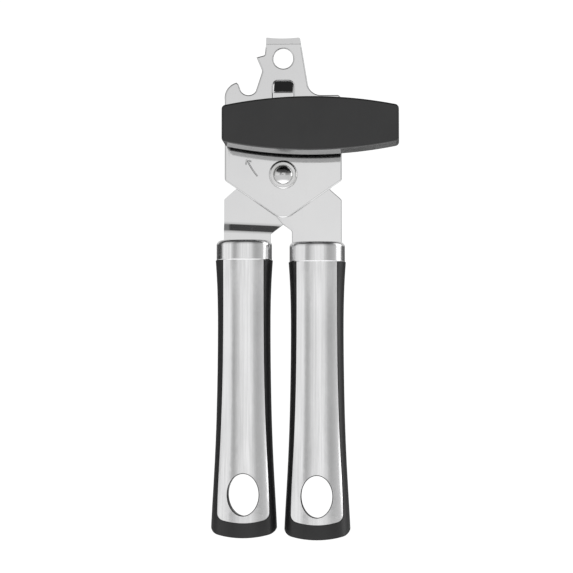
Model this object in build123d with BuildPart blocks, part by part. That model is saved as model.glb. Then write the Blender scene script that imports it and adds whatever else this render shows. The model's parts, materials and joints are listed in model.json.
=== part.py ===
import os
from math import acos, cos, pi, radians, sin, tan

from build123d import *

os.makedirs("parts", exist_ok=True)

# Manual can opener with a bottle opener in its front plate.
# X runs across the opener, Y from the knob side to the cutter side, Z towards the bottle opener.
# The origin is the centre of the hanging hole, halfway through the front plate.

# ---- sheet steel ----
plate_t = 1.4            # front plate
tang_t = 1.6             # both handle tangs
layer_gap = 0.15         # air between two sheets that slide on each other
edge_round = 0.6         # rolled front edges of the plate
back_edge_round = 0.3
tang_edge_round = 0.35
bend_r = 0.7             # inside radius of every bend

plate_front = -plate_t / 2
plate_back = plate_t / 2
mid_front = plate_back + layer_gap          # right tang, in the middle of the stack
mid_back = mid_front + tang_t
rear_front = mid_back + layer_gap           # left tang, at the back of the stack
rear_back = rear_front + tang_t
handle_y = (mid_front + mid_back) / 2       # both handles lie around the middle sheet

# ---- front plate ----
plate_half = 24.5        # half its width
plate_reach = 80.0       # more than its height
shoulder_z = -15.4       # right shoulder beside the neck
side_end_z = -51.2       # where the straight sides end
tip_z = -68.3            # where the two slanting edges would meet
tip_r = 7.0
neck_half = 7.2          # at the crease
crease_z = 6.1
strip_start_z = 4.6      # the plate's edges are rounded up to here
top_z = 8.95
crease_angle = 6.0       # how far the top strip leans back, in degrees
crease_groove_depth = 0.15
hang_hole_r = 4.2

window_w = 8.5           # lanced window under the hanging hole
window_top_z = -9.5
window_bottom_z = -24.0
window_round = 0.7       # rolled rim of the window
tongue_w = 8.0
tongue_bend_z = -14.4
tongue_reach = 6.6       # how far the bent tongue goes back
tongue_rise = 6.2
arrow_r = 30.0           # engraved turning arrow around the shaft
arrow_start = 204.0      # degrees, from +X towards +Z
arrow_sweep = 16.0
arrow_barb = 2.2
engraving_r = 0.32       # the grooves are half round

# ---- pivot ----
pivot_x = 0.0
pivot_z = -48.9
pivot_r = 3.5
pivot_head_r = 6.0
pivot_head_t = 1.5
recess_r = 4.35          # recess in the front head
recess_depth = 0.4
dome_r = 4.15            # dome standing in the recess
dome_height = 1.9
running = 0.05           # radial clearance of everything that turns

# ---- shaft, gears and wheels ----
shaft_x = 12.2
shaft_z = -30.2
shaft_r = 3.0
shaft_square = 4.2       # square end in the knob
bushing_wall = 1.3
bushing_flange_r = 6.6
bushing_flange_t = 1.2
gear_teeth = 12
gear_module = 1.4
gear_t = 2.5
gear_backlash = 0.16
gear_gap = 0.2           # between the rear tang and the gears
feed_r = 6.9
feed_t = 3.0
feed_teeth = 22
feed_tooth_depth = 0.9
cutter_bite = 0.5        # how far the cutting edge passes the feed wheel's rim
cutter_t = 1.6
rim_gap = 0.35           # between the feed wheel and the cutting wheel, along the shaft
cutter_hub_r = 4.6
post_r = 2.6
post_head_r = 4.4
post_head_t = 1.3
washer_t = 0.5
side_play = 0.08         # along the axles
peen_t = 0.9             # riveted end of the shaft
shaft_collar_r = 5.2
shaft_collar_t = 1.2

centre_distance = gear_teeth * gear_module
cutter_x = shaft_x - centre_distance
cutter_z = shaft_z
cutter_r = centre_distance - feed_r + cutter_bite
gear_front = rear_back + gear_gap
gear_back = gear_front + gear_t
feed_back = gear_back + feed_t
cutter_front = feed_back + rim_gap
cutter_back = cutter_front + cutter_t
bushing_r = shaft_r + running + bushing_wall

# ---- knob ----
knob_length = 72.55
knob_width = 22.2
knob_end_width = 14.8
knob_height = 19.5
knob_gap = 8.0           # between the knob and the front plate
knob_corner_r = 1.8
knob_round = 0.9
knob_wall = 2.4
knob_hub_r = 7.0         # keyed hub, inside and behind the knob
knob_rib_t = 1.8
knob_base = plate_front - knob_gap
key_depth = 9.0          # of the square key inside the knob

# ---- handles ----
left_x = -16.4
right_x = 14.15
left_top_z = -76.3
right_top_z = -77.1
handle_length = 123.9
handle_hole_w = 12.8         # at the front; the hole widens a little towards the rear
handle_hole_h = 17.2
hole_widening = 0.03         # per side, by depth
handle_hole_drop = 106.0     # centre of the oval hole below the top
collar_height = 8.4
collar_half_w = 11.55
collar_half_t = 9.0
collar_wall = 0.8
collar_round = 2.0
collar_lower_round = 0.35
shell_t = 0.8
shell_proud = 0.25
shell_gap = 0.25
shell_end = 6.2              # black end left below the shell
shell_corner_r = 3.2
hole_lip = 0.35              # black lip left inside the shell's oval hole
end_half = 13.85             # half width and sag of the rounded end
end_sag = 2.4
end_corner_r = 4.2
collar_tuck = 0.0            # how far the shells reach up under the collar
tang_w = 19.6
strip_w = 13.0               # tang inside the handle
strip_length = 52.0
jog_top_z = -69.2
jog_bottom_z = -72.7
jog_tilt = 2.6               # degrees, lower on the side of the pivot
jog_bend_r = 2.6

# half width and half thickness of a handle, by the share of its length below the collar
handle_sections = (
    (0.0, 11.95, 8.3),
    (0.12, 11.2, 7.9),
    (0.25, 11.0, 7.8),
    (0.43, 11.2, 7.9),
    (0.58, 11.6, 8.2),
    (0.72, 12.25, 8.7),
    (0.845, 13.05, 9.1),
    (0.94, 13.65, 9.3),
    (1.0, 13.9, 9.3),
)
# half width of the steel shell at the same shares
shell_shares = ((0.0, 8.4), (0.25, 8.4), (0.43, 8.6), (0.58, 9.0), (0.72, 9.6), (0.845, 10.3), (1.0, 10.8))
squareness = 2.35            # 2 is an ellipse, more is squarer

grip_length = handle_length - collar_height
clear_depth = 30.0           # cuts through a handle reach this far from its middle


def facing(y):
    # sketch plane across Y at the given depth; its local axes are X and Z
    return Plane.XZ.offset(-y)


def outline_edges(part, y):
    # the edges that lie in the plane at depth y
    flat = part.edges().filter_by(lambda e: e.bounding_box().size.Y < 0.01)
    return [e for e in flat if abs(e.center().Y - y) < 0.01]


def nearest(sketch, x, z):
    return sketch.vertices().sort_by_distance((x, z, 0))[0]


def finish(part, name):
    part.label = name
    export_step(part, "parts/" + name + ".step")


def disc(name, x, z, front, back, outer_r, inner_r=0.0, round_r=0.0):
    # a plain round piece across Y, with an optional bore and rounded outer rims
    with BuildPart() as piece:
        with BuildSketch(facing(back)):
            with Locations((x, z)):
                Circle(outer_r)
                if inner_r:
                    Circle(inner_r, mode=Mode.SUBTRACT)
        extrude(amount=back - front)
        if round_r:
            rims = piece.edges().filter_by(GeomType.CIRCLE).filter_by(lambda e: e.radius > outer_r - 0.01)
            fillet(rims, round_r)
    finish(piece.part, name)
    return piece.part


def bent_sheet(path, thickness, width, side, radius=bend_r):
    # a sheet whose front face follows path in the YZ plane, extruded across X
    with BuildPart() as sheet:
        with BuildSketch(Plane.YZ.offset(-width / 2)):
            with BuildLine():
                FilletPolyline(*path, radius=radius)
                offset(amount=thickness, side=side)
            make_face()
        extrude(amount=width)
    return sheet.part


def gear_points(teeth, module, phase):
    # outline of a spur gear around the origin, with one tooth centred on the phase angle
    pitch_r = teeth * module / 2
    base_r = pitch_r * cos(radians(20))
    tip_r_ = pitch_r + 0.9 * module
    root_r = pitch_r - 1.2 * module
    half_pitch = pi / (2 * teeth) - gear_backlash / 2 / pitch_r
    involute_0 = tan(radians(20)) - radians(20)
    points = []
    for tooth in range(teeth):
        centre = phase + 2 * pi * tooth / teeth
        flank = [(root_r, half_pitch + involute_0)]
        for step in range(5):
            r = base_r + (tip_r_ - base_r) * step / 4
            a = acos(base_r / r)
            flank.append((r, half_pitch + involute_0 - (tan(a) - a)))
        for r, a in flank:
            points.append((r * cos(centre - a), r * sin(centre - a)))
        for r, a in reversed(flank):
            points.append((r * cos(centre + a), r * sin(centre + a)))
    return points


def moved(points, x, z):
    return [(px + x, pz + z) for px, pz in points]


# ---- front plate ----
def on_arrow(angle, outwards=0.0):
    # a point of the turning arrow, on the plate's front face
    a = radians(angle)
    r = arrow_r + outwards
    return Vector(shaft_x + r * cos(a), plate_front, shaft_z + r * sin(a))


def arrow_paths():
    end = arrow_start + arrow_sweep
    tip = on_arrow(arrow_start)
    barb_angle = arrow_start + 0.8 * arrow_barb * 180 / pi / arrow_r
    return (Edge.make_three_point_arc(tip, on_arrow((arrow_start + end) / 2), on_arrow(end)),
            Edge.make_line(tip, on_arrow(barb_angle, 0.6 * arrow_barb)),
            Edge.make_line(tip, on_arrow(barb_angle, -0.6 * arrow_barb)))


def on_window_rim(edge):
    # front edges of the window, above the tongue's root
    box = edge.bounding_box()
    inside = box.min.Z > window_bottom_z - 0.1 and box.max.Z < window_top_z + 0.1
    return inside and abs(box.min.X) < window_w / 2 + 0.1 and box.max.Y < plate_front + 0.01


lean = radians(crease_angle)
strip = (top_z + 3 - crease_z) / cos(lean)
plate_sheet = bent_sheet(
    ((plate_front, tip_z - 5), (plate_front, crease_z),
     (plate_front + strip * sin(lean), crease_z + strip * cos(lean))),
    plate_t, 4 * plate_half, Side.RIGHT)
tongue = bent_sheet(
    ((plate_front, window_bottom_z - 0.5), (plate_front, tongue_bend_z),
     (plate_front + tongue_reach, tongue_bend_z + tongue_rise)),
    plate_t, tongue_w, Side.RIGHT)

with BuildSketch(facing(10)) as plate_outline:
    with BuildLine():
        Polyline((7.0, top_z), (neck_half + 0.25, crease_z), (11.0, shoulder_z),
                 (plate_half - 1.4, shoulder_z), (plate_half, shoulder_z - 1.3),
                 (plate_half, side_end_z), (0, tip_z), (-plate_half, side_end_z),
                 (-plate_half, shoulder_z - 1.9))
        ThreePointArc((-plate_half, shoulder_z - 1.9), (-23.35, -12.5), (-19.6, -10.0))
        Polyline((-19.6, -10.0), (-18.85, -10.7), (-18.25, -12.3))
        ThreePointArc((-18.25, -12.3), (-14.8, -15.3), (-11.5, -13.6))
        Polyline((-11.5, -13.6), (-8.75, -5.2), (-11.2, 0.6), (-7.75, 1.5),
                 (-neck_half, crease_z), (-neck_half, top_z))
        ThreePointArc((-neck_half, top_z), (0, top_z - 0.45), (7.0, top_z))
    make_face()
    for x, z, r in ((0, tip_z, tip_r), (11.0, shoulder_z, 5.6), (plate_half, side_end_z, 1.6),
                    (-plate_half, side_end_z, 1.6), (-11.5, -13.6, 2.0), (-8.75, -5.2, 2.2),
                    (-7.75, 1.5, 0.8), (7.0, top_z, 0.8), (-neck_half, top_z, 0.3),
                    (plate_half - 1.4, shoulder_z, 0.6)):
        fillet(nearest(plate_outline, x, z), r)
    Circle(hang_hole_r, mode=Mode.SUBTRACT)

with BuildPart() as top_strip:
    add(plate_sheet)
    with BuildSketch(facing(plate_reach)):
        add(plate_outline.sketch_local)
        with Locations((0, strip_start_z - plate_reach)):
            Rectangle(4 * plate_half, 2 * plate_reach, mode=Mode.SUBTRACT)
    extrude(amount=2 * plate_reach, mode=Mode.INTERSECT)

with BuildPart() as arrow:
    for path in arrow_paths():
        with BuildSketch(Plane(origin=path @ 0, z_dir=path % 0)):
            Circle(engraving_r)
        sweep(path=path)

with BuildPart() as front_plate:
    with BuildSketch(facing(plate_back)):
        add(plate_outline.sketch_local)
        with Locations((0, strip_start_z + plate_reach)):
            Rectangle(4 * plate_half, 2 * plate_reach, mode=Mode.SUBTRACT)
    extrude(amount=plate_t)
    for y, radius in ((plate_front, edge_round), (plate_back, back_edge_round)):
        rounded = [e for e in outline_edges(front_plate.part, y) if abs(e.center().Z - strip_start_z) > 0.01]
        fillet(rounded, radius)
    add(top_strip.part)
    with BuildSketch(facing(plate_back)) as window:
        with Locations((0, (window_top_z + window_bottom_z) / 2)):
            Rectangle(window_w, window_top_z - window_bottom_z)
        fillet(window.vertices().group_by(Axis.Y)[-1], 1.9)
    extrude(amount=plate_t, mode=Mode.SUBTRACT)
    window_rim = [e for e in front_plate.edges() if on_window_rim(e)]
    fillet(window_rim, window_round)
    add(tongue)
    with BuildSketch(facing(plate_back)):
        with Locations((shaft_x, shaft_z)):
            Circle(bushing_r)
        with Locations((pivot_x, pivot_z)):
            Circle(pivot_r)
    extrude(amount=plate_t, mode=Mode.SUBTRACT)
    add(arrow.part, mode=Mode.SUBTRACT)
    with BuildSketch(Plane.YZ.offset(-plate_half)):
        with Locations((plate_front, crease_z)):
            RegularPolygon(crease_groove_depth, 4)
    extrude(amount=2 * plate_half, mode=Mode.SUBTRACT)
finish(front_plate.part, "front_plate")

# ---- left tang: at the back of the stack, jogged forward to the handle ----
rear_sheet = bent_sheet(
    ((rear_front, shaft_z + 12), (rear_front, jog_top_z), (mid_front, jog_bottom_z),
     (mid_front, left_top_z - strip_length)),
    tang_t, 4 * plate_half, Side.LEFT, jog_bend_r)
with BuildPart() as left_tang:
    add(rear_sheet.rotate(Axis((left_x, 0, jog_top_z), (0, 1, 0)), jog_tilt))
    with BuildSketch(facing(20)) as left_outline:
        inner = left_x + tang_w / 2 + 1.25
        outer = left_x - tang_w / 2 + 1.25
        with BuildLine():
            Polyline((outer, left_top_z - 4), (outer, -58.9), (outer + 4.0, -55.3), (-9.0, -46.5),
                     (shaft_x - 10.5, shaft_z - 6.5), (shaft_x - 7.2, shaft_z + 6.2),
                     (shaft_x + 8.0, shaft_z + 6.2), (shaft_x + 8.0, shaft_z - 7.0),
                     (pivot_x + 10.0, pivot_z + 1.0), (pivot_x + 7.5, pivot_z - 8.5),
                     (-0.3, -69.5), (inner, -73.6), (inner, left_top_z - 4), close=True)
        make_face()
        for x, z, r in ((shaft_x - 7.2, shaft_z + 6.2, 5.0), (shaft_x + 8.0, shaft_z + 6.2, 5.0),
                        (shaft_x + 8.0, shaft_z - 7.0, 5.0), (outer, -58.9, 1.0), (outer + 4.0, -55.3, 1.0),
                        (pivot_x + 10.0, pivot_z + 1.0, 4.0), (pivot_x + 7.5, pivot_z - 8.5, 4.0)):
            fillet(nearest(left_outline, x, z), r)
        with Locations((left_x, left_top_z - 4 - (strip_length - 4) / 2)):
            Rectangle(strip_w, strip_length - 4)
        with Locations((shaft_x, shaft_z)):
            Circle(bushing_r, mode=Mode.SUBTRACT)
        with Locations((pivot_x, pivot_z)):
            Circle(pivot_r, mode=Mode.SUBTRACT)
    extrude(amount=40, mode=Mode.INTERSECT)
    fillet(outline_edges(left_tang.part, rear_back), tang_edge_round)
finish(left_tang.part, "left_tang")

# ---- right tang: flat, in the middle of the stack, carries the cutter post ----
with BuildPart() as right_tang:
    with BuildSketch(facing(mid_back)) as right_outline:
        inner = right_x - tang_w / 2 - 0.95 + 0.2
        outer = right_x + tang_w / 2 + 0.45
        with BuildLine():
            Polyline((outer, right_top_z - 4), (outer, -59.3), (outer - 4.3, -55.5), (7.6, -42.0),
                     (4.0, -36.0), (cutter_x + 6.6, cutter_z + 7.6), (cutter_x - 6.6, cutter_z + 7.6),
                     (cutter_x - 8.2, cutter_z - 6.0), (pivot_x - 10.5, pivot_z),
                     (pivot_x - 9.0, pivot_z - 10.5), (-0.3, -69.5), (inner, -72.4),
                     (inner, right_top_z - 4), close=True)
        make_face()
        for x, z, r in ((cutter_x + 6.6, cutter_z + 7.6, 5.0), (cutter_x - 6.6, cutter_z + 7.6, 5.0),
                        (7.6, -42.0, 4.0), (4.0, -36.0, 4.0), (outer, -59.3, 1.0), (outer - 4.3, -55.5, 1.0),
                        (cutter_x - 8.2, cutter_z - 6.0, 4.0), (pivot_x - 10.5, pivot_z, 4.0),
                        (inner, -72.4, 1.6)):
            fillet(nearest(right_outline, x, z), r)
        with Locations((right_x, right_top_z - 4 - (strip_length - 4) / 2)):
            Rectangle(strip_w, strip_length - 4)
        with Locations((cutter_x, cutter_z)):
            Circle(post_r, mode=Mode.SUBTRACT)
        with Locations((pivot_x, pivot_z)):
            Circle(pivot_r + running, mode=Mode.SUBTRACT)
    extrude(amount=tang_t)
    for y in (mid_front, mid_back):
        fillet(outline_edges(right_tang.part, y), tang_edge_round)
finish(right_tang.part, "right_tang")

# ---- pivot rivet, fixed in the front plate and the left tang ----
with BuildPart() as pivot_rivet:
    with BuildSketch(facing(rear_back + pivot_head_t)):
        with Locations((pivot_x, pivot_z)):
            Circle(pivot_head_r - 0.5)
    extrude(amount=pivot_head_t)
    with BuildSketch(facing(rear_back)):
        with Locations((pivot_x, pivot_z)):
            Circle(pivot_r)
    extrude(amount=rear_back - plate_front)
    with BuildSketch(facing(plate_front)):
        with Locations((pivot_x, pivot_z)):
            Circle(pivot_head_r)
    extrude(amount=pivot_head_t)
    heads = pivot_rivet.edges().filter_by(GeomType.CIRCLE).sort_by(Axis.Y)
    fillet([heads[0], heads[-1]], 0.9)
    with BuildSketch(facing(plate_front - pivot_head_t + recess_depth)):
        with Locations((pivot_x, pivot_z)):
            Circle(recess_r)
    extrude(amount=recess_depth, mode=Mode.SUBTRACT)
    recess_floor = plate_front - pivot_head_t + recess_depth
    ball_r = (dome_r ** 2 + dome_height ** 2) / (2 * dome_height)
    with BuildSketch(Plane.XY.offset(pivot_z)):
        with BuildLine():
            bow_x = pivot_x + ball_r * sin(radians(30))
            bow_y = recess_floor - dome_height + ball_r * (1 - cos(radians(30)))
            ThreePointArc((pivot_x, recess_floor - dome_height), (bow_x, bow_y),
                          (pivot_x + dome_r, recess_floor))
            Polyline((pivot_x + dome_r, recess_floor), (pivot_x, recess_floor),
                     (pivot_x, recess_floor - dome_height))
        make_face()
    revolve(axis=Axis((pivot_x, 0, pivot_z), (0, 1, 0)))
finish(pivot_rivet.part, "pivot_rivet")

# ---- shaft bushing, pressed into the front plate and the left tang ----
with BuildPart() as shaft_bushing:
    with BuildSketch(facing(rear_back)):
        with Locations((shaft_x, shaft_z)):
            Circle(bushing_r)
    extrude(amount=rear_back - plate_front)
    with BuildSketch(facing(plate_front)):
        with Locations((shaft_x, shaft_z)):
            Circle(bushing_flange_r)
    extrude(amount=bushing_flange_t)
    fillet(shaft_bushing.edges().filter_by(GeomType.CIRCLE).sort_by(Axis.Y)[0], 0.4)
    with BuildSketch(facing(rear_back)):
        with Locations((shaft_x, shaft_z)):
            Circle(shaft_r + running)
    extrude(amount=30, mode=Mode.SUBTRACT)
finish(shaft_bushing.part, "shaft_bushing")

# ---- drive shaft: square key, collar, round journal, riveted end ----
collar_back = plate_front - bushing_flange_t - side_play - washer_t
collar_front = collar_back - shaft_collar_t
with BuildPart() as drive_shaft:
    with BuildSketch(facing(feed_back + peen_t)):
        with Locations((shaft_x, shaft_z)):
            Circle(shaft_r + 1.0)
    extrude(amount=peen_t)
    fillet(drive_shaft.edges().filter_by(GeomType.CIRCLE).sort_by(Axis.Y)[-1], peen_t * 0.7)
    with BuildSketch(facing(feed_back)):
        with Locations((shaft_x, shaft_z)):
            Circle(shaft_r)
    extrude(amount=feed_back - collar_back)
    with BuildSketch(facing(collar_back)):
        with Locations((shaft_x, shaft_z)):
            Circle(shaft_collar_r)
    extrude(amount=shaft_collar_t)
    with BuildSketch(facing(collar_front)):
        with Locations((shaft_x, shaft_z)):
            Rectangle(shaft_square, shaft_square)
    extrude(amount=collar_front - knob_base + key_depth)
finish(drive_shaft.part, "drive_shaft")

disc("thrust_washer", shaft_x, shaft_z, collar_back, collar_back + washer_t, bushing_flange_r - 0.4,
     shaft_r + running)

# ---- turning knob: a long block with bowed sides, hollow underneath around a keyed hub ----
with BuildPart() as turn_knob:
    with BuildSketch(facing(knob_base)) as knob_outline:
        half_l = knob_length / 2
        half_e = knob_end_width / 2
        with BuildLine():
            for s in (1, -1):
                ThreePointArc((shaft_x - half_l, shaft_z + s * half_e),
                              (shaft_x, shaft_z + s * knob_width / 2),
                              (shaft_x + half_l, shaft_z + s * half_e))
                Line((shaft_x + s * half_l, shaft_z - half_e), (shaft_x + s * half_l, shaft_z + half_e))
        make_face()
        fillet(knob_outline.vertices(), knob_corner_r)
    extrude(amount=knob_height)
    fillet(turn_knob.faces().sort_by(Axis.Y)[0].edges(), knob_round)
    fillet(turn_knob.faces().sort_by(Axis.Y)[-1].edges(), knob_round * 0.6)
    with BuildSketch(facing(knob_base)):
        add(offset(knob_outline.sketch_local, -knob_wall, mode=Mode.PRIVATE))
        with Locations((shaft_x, shaft_z)):
            Circle(knob_hub_r, mode=Mode.SUBTRACT)
            Rectangle(knob_length, knob_rib_t, mode=Mode.SUBTRACT)
            for place in (-20, 20):
                with Locations((place, 0)):
                    Rectangle(knob_rib_t, knob_width, mode=Mode.SUBTRACT)
    extrude(amount=knob_height - knob_wall, mode=Mode.SUBTRACT)
    with BuildSketch(facing(collar_front)):
        with Locations((shaft_x, shaft_z)):
            Circle(knob_hub_r)
    extrude(amount=collar_front - knob_base)
    with BuildSketch(facing(collar_front)):
        with Locations((shaft_x, shaft_z)):
            Rectangle(shaft_square, shaft_square)
    extrude(amount=collar_front - knob_base + key_depth, mode=Mode.SUBTRACT)
finish(turn_knob.part, "turn_knob")

# ---- drive gear and cutter gear, in mesh ----
for name, x, z, phase, bore in (("drive_gear", shaft_x, shaft_z, pi, shaft_r),
                                ("cutter_gear", cutter_x, cutter_z, pi / gear_teeth, post_r + running)):
    with BuildPart() as gear:
        with BuildSketch(facing(gear_back)):
            with BuildLine():
                Polyline(*moved(gear_points(gear_teeth, gear_module, phase), x, z), close=True)
            make_face()
            with Locations((x, z)):
                Circle(bore, mode=Mode.SUBTRACT)
        extrude(amount=gear_t)
    finish(gear.part, name)

# ---- feed wheel with a sharp serrated rim ----
with BuildPart() as feed_wheel:
    serration = []
    for tooth in range(2 * feed_teeth):
        a = pi * tooth / feed_teeth
        r = feed_r if tooth % 2 == 0 else feed_r - feed_tooth_depth
        serration.append((shaft_x + r * cos(a), shaft_z + r * sin(a)))
    with BuildSketch(facing(feed_back)):
        with BuildLine():
            Polyline(*serration, close=True)
        make_face()
        with Locations((shaft_x, shaft_z)):
            Circle(shaft_r, mode=Mode.SUBTRACT)
    extrude(amount=feed_t)
finish(feed_wheel.part, "feed_wheel")

# ---- cutting wheel: hub and bevelled disc turned in one piece ----
with BuildPart() as cutting_wheel:
    with BuildSketch(Plane.XY.offset(cutter_z)):
        with BuildLine():
            bore = post_r + running
            Polyline((cutter_x + bore, gear_back), (cutter_x + cutter_hub_r, gear_back),
                     (cutter_x + cutter_hub_r, cutter_front), (cutter_x + cutter_r - 0.4, cutter_front),
                     (cutter_x + cutter_r, cutter_front + 0.15), (cutter_x + cutter_r - 2.2, cutter_back),
                     (cutter_x + bore, cutter_back), close=True)
        make_face()
    revolve(axis=Axis((cutter_x, 0, cutter_z), (0, 1, 0)))
finish(cutting_wheel.part, "cutting_wheel")

# ---- cutter post riveted into the right tang, with its spacer and washer ----
washer_front = cutter_back + side_play
head_front = washer_front + washer_t + side_play
with BuildPart() as cutter_post:
    with BuildSketch(facing(head_front + post_head_t)):
        with Locations((cutter_x, cutter_z)):
            Circle(post_head_r)
    extrude(amount=post_head_t)
    fillet(cutter_post.edges().filter_by(GeomType.CIRCLE).sort_by(Axis.Y)[-1], 0.8)
    with BuildSketch(facing(head_front)):
        with Locations((cutter_x, cutter_z)):
            Circle(post_r)
    extrude(amount=head_front - mid_front)
finish(cutter_post.part, "cutter_post")
disc("cutter_spacer", cutter_x, cutter_z, mid_back, gear_front - side_play, cutter_hub_r - 0.6, post_r)
disc("cutter_washer", cutter_x, cutter_z, washer_front, washer_front + washer_t, post_head_r + 0.6, post_r)


# ---- handles ----
def ring_points(half_w, half_t, x):
    # points around one squared-off oval section of a handle
    points = []
    for step in range(24):
        a = 2 * pi * (step + 0.5) / 24
        across = abs(cos(a)) ** (2 / squareness) * (1 if cos(a) > 0 else -1)
        deep = abs(sin(a)) ** (2 / squareness) * (1 if sin(a) > 0 else -1)
        points.append((x + half_w * across, handle_y + half_t * deep))
    return points


def oval_section(half_w, half_t, x, z):
    with BuildSketch(Plane.XY.offset(z)) as section:
        with BuildLine():
            Spline(*ring_points(half_w, half_t, x), periodic=True)
        make_face()
    return section.sketch


def grip_body(x, top_z, grow):
    # the grip below the collar, grown outwards by grow, with its rounded end
    start_z = top_z - collar_height
    end_z = top_z - handle_length
    sections = [oval_section(half_w + grow, half_t + grow, x, start_z - share * (grip_length + 1))
                for share, half_w, half_t in handle_sections]
    with BuildPart() as body:
        loft(sections)
        with BuildSketch(facing(handle_y + clear_depth)) as end_view:
            with BuildLine():
                ThreePointArc((x - end_half, end_z + end_sag), (x, end_z), (x + end_half, end_z + end_sag))
                Polyline((x + end_half, end_z + end_sag), (x + end_half, start_z), (x - end_half, start_z),
                         (x - end_half, end_z + end_sag))
            make_face()
            fillet(end_view.vertices().group_by(Axis.Y)[0], end_corner_r)
        extrude(amount=2 * clear_depth, mode=Mode.INTERSECT)
    return body.part


def shell_prism(x, top_z, grow):
    # the front view of the steel shell, grown by grow, as a prism through the whole handle
    start_z = top_z - collar_height + collar_tuck
    end_z = top_z - handle_length + shell_end - grow
    with BuildPart() as prism:
        with BuildSketch(facing(handle_y + clear_depth)) as view:
            lower = [(x - w - grow, start_z - s * (start_z - end_z - 2)) for s, w in shell_shares]
            upper = [(x + w + grow, start_z - s * (start_z - end_z - 2)) for s, w in shell_shares]
            with BuildLine():
                Spline(*lower)
                ThreePointArc(lower[-1], (x, end_z), upper[-1])
                Spline(*upper)
                Line(upper[0], lower[0])
            make_face()
            fillet(view.vertices().group_by(Axis.Y)[0], shell_corner_r + grow)
        extrude(amount=2 * clear_depth)
    return prism.part


def oval_hole(x, top_z, grow):
    with BuildPart() as hole:
        for y in (handle_y - clear_depth, handle_y + clear_depth):
            wider = grow + hole_widening * (y - handle_y + collar_half_t)
            with BuildSketch(facing(y)):
                with Locations((x, top_z - handle_hole_drop)):
                    Ellipse(handle_hole_w / 2 + wider, handle_hole_h / 2 + wider)
        loft()
    return hole.part


def make_handle(side, x, top_z, tang):
    start_z = top_z - collar_height
    outer = grip_body(x, top_z, shell_proud)
    inner = grip_body(x, top_z, shell_proud - shell_t)
    pocket = shell_prism(x, top_z, shell_gap)
    neck = [oval_section(collar_half_w - collar_wall, collar_half_t - collar_wall, x, z)
            for z in (start_z, top_z - collar_wall)]

    # moulded core around the tang, with a neck inside the collar and pockets for the shells
    with BuildPart() as core:
        add(grip_body(x, top_z, 0))
        add(pocket - inner, mode=Mode.SUBTRACT)
        loft(neck)
        add(oval_hole(x, top_z, 0), mode=Mode.SUBTRACT)
        add(tang, mode=Mode.SUBTRACT)
    finish(core.part, side + "_handle_core")

    # two steel shells, front and rear
    for place, high_y in (("front", handle_y), ("rear", handle_y + clear_depth)):
        with BuildPart() as shell:
            add(outer)
            add(inner, mode=Mode.SUBTRACT)
            add(shell_prism(x, top_z, 0), mode=Mode.INTERSECT)
            add(oval_hole(x, top_z, hole_lip), mode=Mode.SUBTRACT)
            with BuildSketch(facing(high_y)):
                with Locations((x, top_z - handle_length / 2)):
                    Rectangle(4 * collar_half_w, handle_length + 20)
            extrude(amount=clear_depth, mode=Mode.INTERSECT)
        finish(shell.part, side + "_" + place + "_shell")

    # drawn steel collar, closed at the top around the tang
    with BuildPart() as collar:
        loft([oval_section(collar_half_w, collar_half_t, x, z) for z in (start_z, top_z)])
        fillet(collar.faces().sort_by(Axis.Z)[-1].edges(), collar_round)
        fillet(collar.faces().sort_by(Axis.Z)[0].edges(), collar_lower_round)
        loft(neck, mode=Mode.SUBTRACT)
        add(tang, mode=Mode.SUBTRACT)
    finish(collar.part, side + "_collar")


make_handle("left", left_x, left_top_z, left_tang.part)
make_handle("right", right_x, right_top_z, right_tang.part)
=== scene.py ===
import json
from math import cos, radians, sin

import bmesh
import bpy
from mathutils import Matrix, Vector


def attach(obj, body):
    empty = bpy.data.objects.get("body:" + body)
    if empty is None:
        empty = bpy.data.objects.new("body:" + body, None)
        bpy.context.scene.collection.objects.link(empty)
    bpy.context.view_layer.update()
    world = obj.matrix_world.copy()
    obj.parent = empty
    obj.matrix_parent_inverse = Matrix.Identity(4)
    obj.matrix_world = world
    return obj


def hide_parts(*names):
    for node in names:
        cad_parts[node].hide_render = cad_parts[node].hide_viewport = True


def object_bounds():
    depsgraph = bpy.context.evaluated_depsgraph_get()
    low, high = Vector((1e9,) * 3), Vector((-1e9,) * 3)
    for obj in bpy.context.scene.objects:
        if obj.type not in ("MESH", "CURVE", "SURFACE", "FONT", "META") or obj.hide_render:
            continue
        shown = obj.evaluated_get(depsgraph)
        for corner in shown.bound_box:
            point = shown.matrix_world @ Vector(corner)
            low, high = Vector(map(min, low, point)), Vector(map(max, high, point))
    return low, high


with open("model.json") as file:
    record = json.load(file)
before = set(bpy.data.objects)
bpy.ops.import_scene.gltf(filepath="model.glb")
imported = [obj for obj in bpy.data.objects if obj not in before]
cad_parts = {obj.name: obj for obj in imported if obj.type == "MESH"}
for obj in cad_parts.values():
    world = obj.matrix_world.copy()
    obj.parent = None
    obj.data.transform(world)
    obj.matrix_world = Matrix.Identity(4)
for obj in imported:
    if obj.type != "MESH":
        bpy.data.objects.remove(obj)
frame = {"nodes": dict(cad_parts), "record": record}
cadLow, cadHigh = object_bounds()
nodes = frame["nodes"]

cameraSet = {"azimuth": 2.5, "elevation": -3.0, "distance": 1.150, "across": 0.2397,
             "target": (0.00126, 0.0020, -0.09555), "sensor": 36, "clip": (0.05, 20)}


def makeCamera(s):
    a, e = radians(s["azimuth"]), radians(s["elevation"])
    back = Vector((sin(a) * cos(e), -cos(a) * cos(e), sin(e)))
    data = bpy.data.cameras.new("camera")
    camera = bpy.data.objects.new("camera", data)
    bpy.context.scene.collection.objects.link(camera)
    data.sensor_width = s["sensor"]
    data.lens = s["sensor"] * s["distance"] / s["across"]
    data.clip_start, data.clip_end = s["clip"]
    camera.location = Vector(s["target"]) + back * s["distance"]
    camera.rotation_mode = "QUATERNION"
    camera.rotation_quaternion = (-back).to_track_quat("-Z", "Y")
    bpy.context.scene.camera = camera


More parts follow.
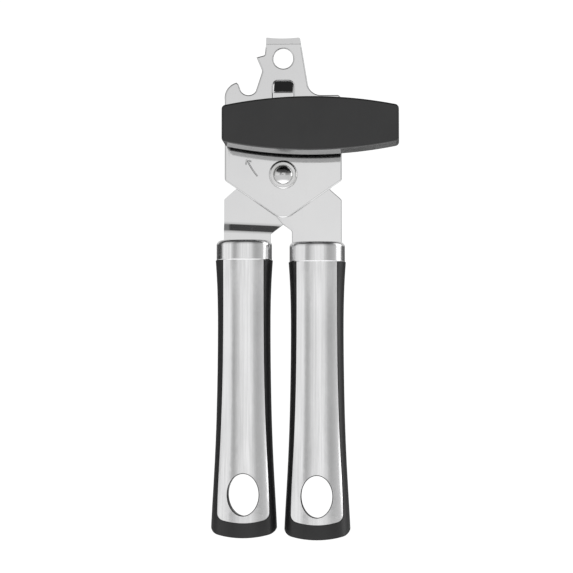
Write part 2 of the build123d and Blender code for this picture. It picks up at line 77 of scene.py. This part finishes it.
# brightness of the surroundings by direction: degrees to the right of straight ahead, brightness
studioAcross = ((-180, 0.95), (-150, 0.90), (-128, 0.55), (-112, 0.12), (-92, 0.12), (-82, 0.60),
                (-74, 0.98), (-52, 1.04), (-36, 1.06), (-23, 0.42), (-11, 0.88), (-3, 1.00),
                (5, 1.08), (16, 0.80), (32, 0.45), (48, 0.54), (64, 0.68), (71, 1.00), (77, 2.60),
                (87, 2.60), (101, 2.40), (114, 1.20), (128, 0.60), (150, 0.90), (180, 0.95))
# and by height above the horizon, multiplied in
studioUp = ((-90, 1.0), (-20, 1.0), (0, 1.10), (4.5, 1.09), (8, 0.99), (20, 0.93), (45, 0.55),
            (62, 0.20), (75, 0.06), (90, 0.05))
# a dark screen stands low behind the object: where it starts and is full, backward and upward
screenSet = {"back": (-0.05, 0.25), "height": (0.06, 0.22), "darkness": 0.88}
backdropGlow = 1.05


def addRamp(tree, source, stops, low, high):
    spread = tree.nodes.new("ShaderNodeMapRange")
    spread.inputs["From Min"].default_value = radians(low)
    spread.inputs["From Max"].default_value = radians(high)
    ramp = tree.nodes.new("ShaderNodeFloatCurve")
    curve = ramp.mapping.curves[0]
    ramp.mapping.use_clip = False
    top = max(v for a, v in stops)
    while len(curve.points) < len(stops):
        curve.points.new(0.5, 0.5)
    for point, (angle, value) in zip(curve.points, stops):
        point.location = ((angle - low) / (high - low), value / top)
        point.handle_type = "AUTO_CLAMPED"
    ramp.mapping.update()
    scale = tree.nodes.new("ShaderNodeMath")
    scale.operation = "MULTIPLY"
    scale.inputs[1].default_value = top
    tree.links.new(source, spread.inputs["Value"])
    tree.links.new(spread.outputs[0], ramp.inputs["Value"])
    tree.links.new(ramp.outputs[0], scale.inputs[0])
    return scale.outputs[0]


def mathNode(tree, operation, *sources):
    node = tree.nodes.new("ShaderNodeMath")
    node.operation = operation
    for i, s in enumerate(sources):
        if isinstance(s, (int, float)):
            node.inputs[i].default_value = s
        else:
            tree.links.new(s, node.inputs[i])
    return node.outputs[0]


def spreadTo(tree, source, low, high, fromLow=0.3, fromHigh=0.7):
    node = tree.nodes.new("ShaderNodeMapRange")
    node.inputs["From Min"].default_value = fromLow
    node.inputs["From Max"].default_value = fromHigh
    node.inputs["To Min"].default_value = low
    node.inputs["To Max"].default_value = high
    tree.links.new(source, node.inputs["Value"])
    return node.outputs[0]


def makeStudio():
    world = bpy.data.worlds.new("studio")
    bpy.context.scene.world = world
    world.use_nodes = True
    tree = world.node_tree
    tree.nodes.clear()
    coord = tree.nodes.new("ShaderNodeTexCoord")
    split = tree.nodes.new("ShaderNodeSeparateXYZ")
    tree.links.new(coord.outputs["Generated"], split.inputs[0])
    x, y, z = split.outputs
    across = mathNode(tree, "ARCTAN2", x, mathNode(tree, "MULTIPLY", y, -1))
    up = mathNode(tree, "ARCSINE", z)
    value = mathNode(tree, "MULTIPLY", addRamp(tree, across, studioAcross, -180, 180),
                     addRamp(tree, up, studioUp, -90, 90))
    screen = mathNode(tree, "MULTIPLY", spreadTo(tree, y, 0, 1, *screenSet["back"]),
                      spreadTo(tree, z, 1, 0, *screenSet["height"]))
    shade = mathNode(tree, "MULTIPLY", screen, screenSet["darkness"])
    value = mathNode(tree, "MULTIPLY", value, mathNode(tree, "SUBTRACT", 1, shade))
    soft = tree.nodes.new("ShaderNodeBackground")
    tree.links.new(value, soft.inputs["Strength"])
    white = tree.nodes.new("ShaderNodeBackground")
    white.inputs["Color"].default_value = (1, 1, 1, 1)
    white.inputs["Strength"].default_value = backdropGlow
    seen = tree.nodes.new("ShaderNodeLightPath")
    mix = tree.nodes.new("ShaderNodeMixShader")
    tree.links.new(seen.outputs["Is Camera Ray"], mix.inputs[0])
    tree.links.new(soft.outputs[0], mix.inputs[1])
    tree.links.new(white.outputs[0], mix.inputs[2])
    out = tree.nodes.new("ShaderNodeOutputWorld")
    tree.links.new(mix.outputs[0], out.inputs["Surface"])
    bpy.context.scene.view_settings.view_transform = "Standard"
    bpy.context.scene.view_settings.look = "None"


def newMaterial(name, color, metallic, roughness):
    material = bpy.data.materials.new(name)
    material.use_nodes = True
    shader = material.node_tree.nodes["Principled BSDF"]
    shader.inputs["Base Color"].default_value = (*color, 1)
    shader.inputs["Metallic"].default_value = metallic
    shader.inputs["Roughness"].default_value = roughness
    return material, material.node_tree, shader


# seen directly the floor is an even white; what the steel reflects is darker, with a bright patch underneath
floorSet = {"size": 8.0, "forward": -2.6, "below": 0.06, "color": (0.5, 0.5, 0.5), "roughness": 0.9,
            "glow": 1.0, "patchReach": (0.10, 0.26), "patch": (1.5, 0.52)}


def makeFloor(s):
    height = cadLow.z - s["below"]
    bpy.ops.mesh.primitive_plane_add(size=s["size"], location=(0, s["forward"], height))
    floor = bpy.context.object
    floor.name = "floor"
    paint, tree, shader = newMaterial("paleFloor", s["color"], 0.0, s["roughness"])
    shader.inputs["Emission Color"].default_value = (1, 1, 1, 1)
    place = tree.nodes.new("ShaderNodeNewGeometry")
    distance = tree.nodes.new("ShaderNodeVectorMath")
    distance.operation = "DISTANCE"
    distance.inputs[1].default_value = (0, 0, height)
    tree.links.new(place.outputs["Position"], distance.inputs[0])
    patch = spreadTo(tree, distance.outputs["Value"], *s["patch"], *s["patchReach"])
    seen = tree.nodes.new("ShaderNodeLightPath")
    direct = mathNode(tree, "MULTIPLY", seen.outputs["Is Camera Ray"], s["glow"])
    tree.links.new(mathNode(tree, "MAXIMUM", direct, patch), shader.inputs["Emission Strength"])
    floor.data.materials.append(paint)


def noiseOn(tree, scale, stretch, detail):
    coord = tree.nodes.new("ShaderNodeTexCoord")
    mapping = tree.nodes.new("ShaderNodeMapping")
    mapping.inputs["Scale"].default_value = stretch
    noise = tree.nodes.new("ShaderNodeTexNoise")
    noise.inputs["Scale"].default_value = scale
    noise.inputs["Detail"].default_value = detail
    tree.links.new(coord.outputs["Object"], mapping.inputs["Vector"])
    tree.links.new(mapping.outputs[0], noise.inputs["Vector"])
    return noise.outputs["Fac"]


def addBump(tree, shader, height, strength, distance):
    bump = tree.nodes.new("ShaderNodeBump")
    bump.inputs["Strength"].default_value = strength
    bump.inputs["Distance"].default_value = distance
    tree.links.new(height, bump.inputs["Height"])
    tree.links.new(bump.outputs[0], shader.inputs["Normal"])


def mixColor(tree, factor, first, second):
    node = tree.nodes.new("ShaderNodeMix")
    node.data_type = "RGBA"
    node.inputs["A"].default_value = (*first, 1)
    node.inputs["B"].default_value = (*second, 1)
    tree.links.new(factor, node.inputs["Factor"])
    return node.outputs["Result"]


def mixLinked(tree, factor, first, second):
    node = tree.nodes.new("ShaderNodeMix")
    node.data_type = "RGBA"
    node.inputs["B"].default_value = (*second, 1)
    tree.links.new(first, node.inputs["A"])
    tree.links.new(factor, node.inputs["Factor"])
    return node.outputs["Result"]


def roughnessFrom(tree, noise, s):
    return spreadTo(tree, noise, *(s["roughness"] * share for share in s["roughShare"]))


def edgeShadeMask(tree, s):
    # painted shade: 1 on the cut edges of a sheet that lies across Y, which are painted dark as if in shade,
    # 0 on its polished faces and on edges turned down, which are left bright as if lit from below
    coord = tree.nodes.new("ShaderNodeTexCoord")
    split = tree.nodes.new("ShaderNodeSeparateXYZ")
    tree.links.new(coord.outputs["Normal"], split.inputs[0])
    flat = mathNode(tree, "ABSOLUTE", split.outputs["Y"])
    side = spreadTo(tree, flat, 1, 0, s["edgeFrom"], s["edgeTo"])
    upward = spreadTo(tree, split.outputs["Z"], 0, 1, *s["turnedDown"])
    return mathNode(tree, "MULTIPLY", side, upward)


def makeSheetSteel(name, s):
    # rolled and polished sheet: faint lengthwise grain, cloudy patches and a few fine scratches
    material, tree, shader = newMaterial(name, s["color"], 1.0, s["roughness"])
    clouds = noiseOn(tree, *s["clouds"])
    face = mixColor(tree, spreadTo(tree, clouds, 0, 1), s["color"], s["dull"])
    # painted shade: cut edges that face up or sideways take the dark edge colour
    tree.links.new(mixLinked(tree, edgeShadeMask(tree, s), face, s["edge"]), shader.inputs["Base Color"])
    rough = mathNode(tree, "ADD", roughnessFrom(tree, clouds, s),
                     spreadTo(tree, noiseOn(tree, *s["scratches"]), 0, s["scratchRough"], *s["scratchFrom"]))
    tree.links.new(rough, shader.inputs["Roughness"])
    addBump(tree, shader, noiseOn(tree, *s["grain"]), *s["bump"])
    return material


def makeBrushedSteel(name, s):
    # satin finish brushed along the handle: long hair lines, soft patches rubbed brighter
    material, tree, shader = newMaterial(name, s["color"], 1.0, s["roughness"])
    hair = noiseOn(tree, *s["hair"])
    bands = noiseOn(tree, *s["bands"])
    tone = mathNode(tree, "ADD", spreadTo(tree, hair, *s["hairTone"]),
                    spreadTo(tree, noiseOn(tree, *s["wear"]), *s["wearTone"]))
    tree.links.new(mixColor(tree, tone, s["color"], s["dull"]), shader.inputs["Base Color"])
    rough = mathNode(tree, "ADD", roughnessFrom(tree, hair, s), spreadTo(tree, bands, *s["bandRough"]))
    tree.links.new(rough, shader.inputs["Roughness"])
    addBump(tree, shader, mathNode(tree, "ADD", hair, bands), *s["bump"])
    return material


def makeMachinedSteel(name, s):
    # hardened and plated parts: fine turning marks, darker oily patches
    material, tree, shader = newMaterial(name, s["color"], 1.0, s["roughness"])
    marks = noiseOn(tree, *s["marks"])
    oily = spreadTo(tree, noiseOn(tree, *s["oil"]), 0, 1, *s["oilFrom"])
    tree.links.new(mixColor(tree, oily, s["color"], s["dull"]), shader.inputs["Base Color"])
    tree.links.new(roughnessFrom(tree, marks, s), shader.inputs["Roughness"])
    addBump(tree, shader, marks, *s["bump"])
    return material


def makePlastic(name, s):
    # moulded plastic: fine spark-eroded texture, with patches that handling has polished
    material, tree, shader = newMaterial(name, s["color"], 0.0, s["roughness"])
    rubbed = spreadTo(tree, noiseOn(tree, *s["rubbed"]), 0, 1, *s["rubbedFrom"])
    texture = noiseOn(tree, *s["texture"])
    tree.links.new(mixColor(tree, rubbed, s["color"], s["worn"]), shader.inputs["Base Color"])
    moulded = spreadTo(tree, texture, *(s["roughness"] + step for step in s["roughStep"]))
    rough = mathNode(tree, "ADD", mathNode(tree, "MULTIPLY", rubbed, s["rubbedRough"]), moulded)
    tree.links.new(rough, shader.inputs["Roughness"])
    addBump(tree, shader, texture, *s["bump"])
    return material


makeCamera(cameraSet)
makeStudio()
makeFloor(floorSet)
print("camera, studio and floor made")

# a noise is given by its scale, its stretch along each axis and its detail, a bump by strength and depth
sheetSteelSet = {"color": (0.80, 0.80, 0.80), "dull": (0.77, 0.77, 0.775), "roughness": 0.055,
                 "roughShare": (0.8, 1.25), "scratchRough": 0.10, "scratchFrom": (0.66, 0.74),
                 # the dark edge colour is painted shade on cut edges; edges turned down (turnedDown) keep
                 # the face colour, as if lit from below
                 "edge": (0.16, 0.16, 0.165), "edgeFrom": 0.55, "edgeTo": 0.85,
                 "turnedDown": (-0.40, -0.12),
                 "grain": (1400, (1, 1, 0.02), 4), "clouds": (45, (1, 1, 1), 3),
                 "scratches": (420, (1, 1, 0.06), 1), "bump": (0.12, 0.00002)}
brushedSteelSet = {"color": (0.92, 0.92, 0.925), "dull": (0.80, 0.80, 0.805), "roughness": 0.18,
                   "roughShare": (0.8, 1.3), "bandRough": (-0.015, 0.015),
                   "hairTone": (-0.5, 0.5, 0.25, 0.75), "wearTone": (0.2, 0.8),
                   "hair": (1500, (1, 1, 0.010), 5), "bands": (420, (1, 1, 0.03), 2),
                   "wear": (40, (1, 1, 1), 4), "bump": (0.22, 0.00003)}
machinedSet = {"roughShare": (0.8, 1.4), "oilFrom": (0.42, 0.68), "bump": (0.2, 0.00003)}
platedSteelSet = {**machinedSet, "color": (0.78, 0.78, 0.78), "dull": (0.62, 0.62, 0.61),
                  "roughness": 0.12, "marks": (900, (1, 6, 1), 4), "oil": (90, (1, 1, 1), 4)}
hardenedSteelSet = {**machinedSet, "color": (0.60, 0.60, 0.61), "dull": (0.42, 0.415, 0.40),
                    "roughness": 0.24, "marks": (1200, (1, 6, 1), 4), "oil": (120, (1, 1, 1), 4)}
turnedSteelSet = {**machinedSet, "color": (0.66, 0.65, 0.63), "dull": (0.50, 0.49, 0.47),
                  "roughness": 0.2, "marks": (1500, (1, 6, 1), 4), "oil": (100, (1, 1, 1), 4)}
plasticSet = {"roughStep": (-0.02, 0.05), "rubbedRough": -0.06, "rubbedFrom": (0.40, 0.65)}
gripSet = {**plasticSet, "color": (0.012, 0.012, 0.0125), "worn": (0.017, 0.017, 0.0175),
           "roughness": 0.34, "rubbed": (55, (1, 1, 1), 4), "texture": (2600, (1, 1, 1), 3),
           "bump": (0.16, 0.00004)}
knobSet = {**plasticSet, "color": (0.019, 0.019, 0.0195), "worn": (0.024, 0.024, 0.0245),
           "roughness": 0.16, "rubbed": (38, (1, 1, 1), 4), "texture": (2200, (1, 1, 1), 3),
           "bump": (0.12, 0.00004)}

finishes = {"polished_steel": makeSheetSteel("polishedSteel", sheetSteelSet),
            "brushed_steel": makeBrushedSteel("brushedSteel", brushedSteelSet),
            "hardware_steel": makeMachinedSteel("platedSteel", platedSteelSet),
            "hardened_steel": makeMachinedSteel("hardenedSteel", hardenedSteelSet),
            "bushing_steel": makeMachinedSteel("turnedSteel", turnedSteelSet),
            "grip_plastic": makePlastic("gripBlack", gripSet),
            "knob_plastic": makePlastic("knobCharcoal", knobSet)}
slotOf = {row["node"]: row["material_slot"] for row in frame["record"]["subparts"]}
bodyOf = {name: body for body, names in frame["record"]["behaviour"]["bodies"].items() for name in names}
for name, slotName in slotOf.items():
    for s in nodes[name].material_slots:
        s.material = finishes[slotName]
print("materials on", len(nodes), "nodes")

# sharp stamped edges get a small radius, so that they catch the light
softEdgeSet = {"drive_gear": 0.00012, "cutter_gear": 0.00012, "feed_wheel": 0.00008,
               "cutting_wheel": 0.00008, "cutter_spacer": 0.00015, "cutter_washer": 0.00015,
               "thrust_washer": 0.00015}
weldDistance = 0.000002
flatAngle = radians(0.4)
sharpAngle = radians(32)
bevelSteps = 3


def softenEdges(name, width):
    bm = bmesh.new()
    bm.from_mesh(nodes[name].data)
    bmesh.ops.remove_doubles(bm, verts=bm.verts, dist=weldDistance)
    bmesh.ops.dissolve_limit(bm, angle_limit=flatAngle, verts=bm.verts, edges=bm.edges)
    sharp = [e for e in bm.edges if len(e.link_faces) == 2 and e.calc_face_angle(0) > sharpAngle]
    bmesh.ops.bevel(bm, geom=sharp, offset=width, segments=bevelSteps, profile=0.5, affect="EDGES",
                    material=-1, clamp_overlap=True)
    mesh = bpy.data.meshes.new(name + "_softened")
    bm.to_mesh(mesh)
    bm.free()
    piece = bpy.data.objects.new(name + "_softened", mesh)
    bpy.context.scene.collection.objects.link(piece)
    mesh.materials.append(finishes[slotOf[name]])
    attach(piece, bodyOf[name])
    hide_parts(name)


for name, width in softEdgeSet.items():
    softenEdges(name, width)
print("edges softened on", len(softEdgeSet), "pieces")
